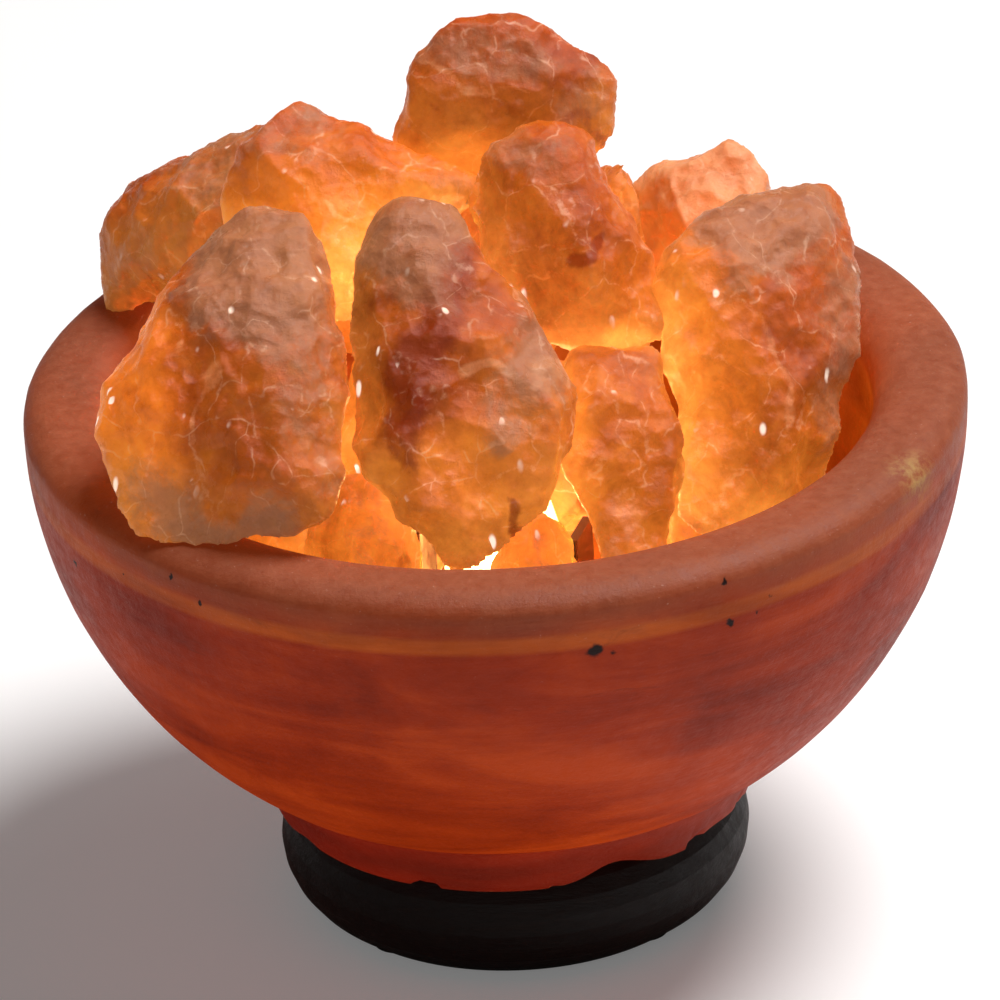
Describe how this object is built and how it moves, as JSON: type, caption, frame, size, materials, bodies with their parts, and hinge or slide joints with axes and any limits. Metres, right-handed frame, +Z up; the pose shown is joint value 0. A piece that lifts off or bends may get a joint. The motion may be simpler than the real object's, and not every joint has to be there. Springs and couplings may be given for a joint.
{
  "type": "salt bowl lamp",
  "caption": "Round rock-salt bowl lamp on a dark wooden foot, heaped with loose rough salt stones round a small screw-in bulb.",
  "frame": {"origin": "centre of the underside, on the plane that the pads stand on", "axes": "+Z up along the bowl's axis, -Y to the front as pictured, +X to the picture's right"},
  "size_m": [0.2, 0.2, 0.1956],
  "materials": {
    "turned_salt": "turned and frosted rock salt, lit orange from inside",
    "rough_salt": "broken rock salt with crystal glints",
    "stained_wood": "dark stain, satin varnish",
    "felt": "felt",
    "zinc_steel": "zinc plated",
    "plug_plastic": "moulded nylon",
    "black_moulding": "moulded phenolic",
    "brass": "drawn brass",
    "white_ceramic": "unglazed",
    "spring_steel": "rolled strip, browned",
    "bulb_glass": "clear",
    "nickel_cap": "nickel plated",
    "black_glass": "black vitrite",
    "solder": "tinned",
    "hot_filament": "tungsten coil"
  },
  "bodies": {
    "base_and_bowl": {"wooden_base": "stained_wood", "base_pads": "felt", "base_screws": "zinc_steel", "screw_plugs": "plug_plastic", "salt_bowl": "turned_salt"},
    "lamp_holder": {"holder_cap": "black_moulding", "holder_body": "black_moulding", "inlet_nipple": "brass", "clip_nut": "brass", "contact_insert": "white_ceramic", "terminal_screws": "brass", "side_contact": "brass", "screw_shell": "brass", "centre_contact": "brass", "spring_clip": "spring_steel"},
    "bulb_tip_contact": {"bulb_tip": "solder"},
    "bulb": {"bulb_glass": "bulb_glass", "bulb_screw_cap": "nickel_cap", "bulb_insulator": "black_glass", "bulb_stem": "bulb_glass", "lead_wires": "nickel_cap", "filament": "hot_filament"},
    "floor_left_stone": {"stone_floor_left": "rough_salt"},
    "floor_rear_left_stone": {"stone_floor_rear_left": "rough_salt"},
    "floor_rear_stone": {"stone_floor_rear": "rough_salt"},
    "floor_right_stone": {"stone_floor_right": "rough_salt"},
    "inner_left_stone": {"stone_inner_left": "rough_salt"},
    "inner_right_stone": {"stone_inner_right": "rough_salt"},
    "rear_middle_stone": {"stone_rear_middle": "rough_salt"},
    "pale_rear_stone": {"stone_pale_rear": "rough_salt"},
    "slim_rear_stone": {"stone_slim_rear": "rough_salt"},
    "left_rim_stone": {"stone_left_rim": "rough_salt"},
    "rear_left_stone": {"stone_rear_left": "rough_salt"},
    "core_stone": {"stone_core": "rough_salt"},
    "middle_left_stone": {"stone_middle_left": "rough_salt"},
    "centre_right_stone": {"stone_centre_right": "rough_salt"},
    "small_rear_stone": {"stone_small_rear": "rough_salt"},
    "front_slim_stone": {"stone_front_slim": "rough_salt"},
    "right_big_stone": {"stone_right_big": "rough_salt"},
    "left_front_stone": {"stone_left_front": "rough_salt"},
    "front_centre_stone": {"stone_front_centre": "rough_salt"},
    "top_stone": {"stone_top": "rough_salt"}
  },
  "joints": [
    {"name": "holder_pull", "type": "slide", "parent": "base_and_bowl", "child": "lamp_holder", "axis": [0, 0, -1], "range_m": [0, 0.1]},
    {"name": "bulb_rise", "type": "slide", "parent": "lamp_holder", "child": "bulb_tip_contact", "axis": [0, 0, 1], "range_m": [0, 0.0115]},
    {"name": "bulb_turn", "type": "hinge", "parent": "bulb_tip_contact", "child": "bulb", "pos_m": [0, 0, 0.05], "axis": [0, 0, 1], "range_deg": [0, 1460]},
    {"name": "lift_floor_left", "type": "slide", "parent": "base_and_bowl", "child": "floor_left_stone", "axis": [-0.342, 0, 0.9397], "range_m": [0, 0.08]},
    {"name": "lift_inner_left", "type": "slide", "parent": "floor_left_stone", "child": "inner_left_stone", "axis": [-0.1593, 0.1336, 0.9781], "range_m": [0, 0.08]},
    {"name": "lift_left_front", "type": "slide", "parent": "inner_left_stone", "child": "left_front_stone", "axis": [0, 0, 1], "range_m": [0, 0.08]},
    {"name": "lift_floor_rear_left", "type": "slide", "parent": "base_and_bowl", "child": "floor_rear_left_stone", "axis": [-0.262, 0.2198, 0.9397], "range_m": [0, 0.08]},
    {"name": "lift_left_rim", "type": "slide", "parent": "floor_rear_left_stone", "child": "left_rim_stone", "axis": [0, 0, 1], "range_m": [0, 0.08]},
    {"name": "lift_rear_left", "type": "slide", "parent": "floor_rear_left_stone", "child": "rear_left_stone", "axis": [0, 0, 1], "range_m": [0, 0.08]},
    {"name": "lift_floor_rear", "type": "slide", "parent": "base_and_bowl", "child": "floor_rear_stone", "axis": [0.104, -0.1801, 0.9781], "range_m": [0, 0.08]},
    {"name": "lift_floor_right", "type": "slide", "parent": "floor_rear_stone", "child": "floor_right_stone", "axis": [0.2079, 0, 0.9781], "range_m": [0, 0.08]},
    {"name": "lift_right_big", "type": "slide", "parent": "floor_right_stone", "child": "right_big_stone", "axis": [0, 0, 1], "range_m": [0, 0.08]},
    {"name": "lift_slim_rear", "type": "slide", "parent": "floor_rear_stone", "child": "slim_rear_stone", "axis": [0.5, 0, 0.866], "range_m": [0, 0.08]},
    {"name": "lift_core", "type": "slide", "parent": "floor_rear_stone", "child": "core_stone", "axis": [0.0594, 0.3368, 0.9397], "range_m": [0, 0.08]},
    {"name": "lift_middle_left", "type": "slide", "parent": "core_stone", "child": "middle_left_stone", "axis": [0.0594, 0.3368, 0.9397], "range_m": [0, 0.08]},
    {"name": "lift_small_rear", "type": "slide", "parent": "middle_left_stone", "child": "small_rear_stone", "axis": [0, 0, 1], "range_m": [0, 0.08]},
    {"name": "lift_top", "type": "slide", "parent": "middle_left_stone", "child": "top_stone", "axis": [0, 0, 1], "range_m": [0, 0.08]},
    {"name": "lift_centre_right", "type": "slide", "parent": "floor_rear_stone", "child": "centre_right_stone", "axis": [-0.4698, -0.171, 0.866], "range_m": [0, 0.08]},
    {"name": "lift_inner_right", "type": "slide", "parent": "base_and_bowl", "child": "inner_right_stone", "axis": [0.1593, 0.1336, 0.9781], "range_m": [0, 0.08]},
    {"name": "lift_front_slim", "type": "slide", "parent": "inner_right_stone", "child": "front_slim_stone", "axis": [0.1593, 0.1336, 0.9781], "range_m": [0, 0.08]},
    {"name": "lift_rear_middle", "type": "slide", "parent": "base_and_bowl", "child": "rear_middle_stone", "axis": [0, 0, 1], "range_m": [0, 0.08]},
    {"name": "lift_pale_rear", "type": "slide", "parent": "base_and_bowl", "child": "pale_rear_stone", "axis": [0, 0, 1], "range_m": [0, 0.08]},
    {"name": "lift_front_centre", "type": "slide", "parent": "base_and_bowl", "child": "front_centre_stone", "axis": [0, 0, 1], "range_m": [0, 0.08]}
  ],
  "couplings": [
    {"joint": "bulb_rise", "follows": "bulb_turn", "m_per_rad": 0.00044882}
  ]
}
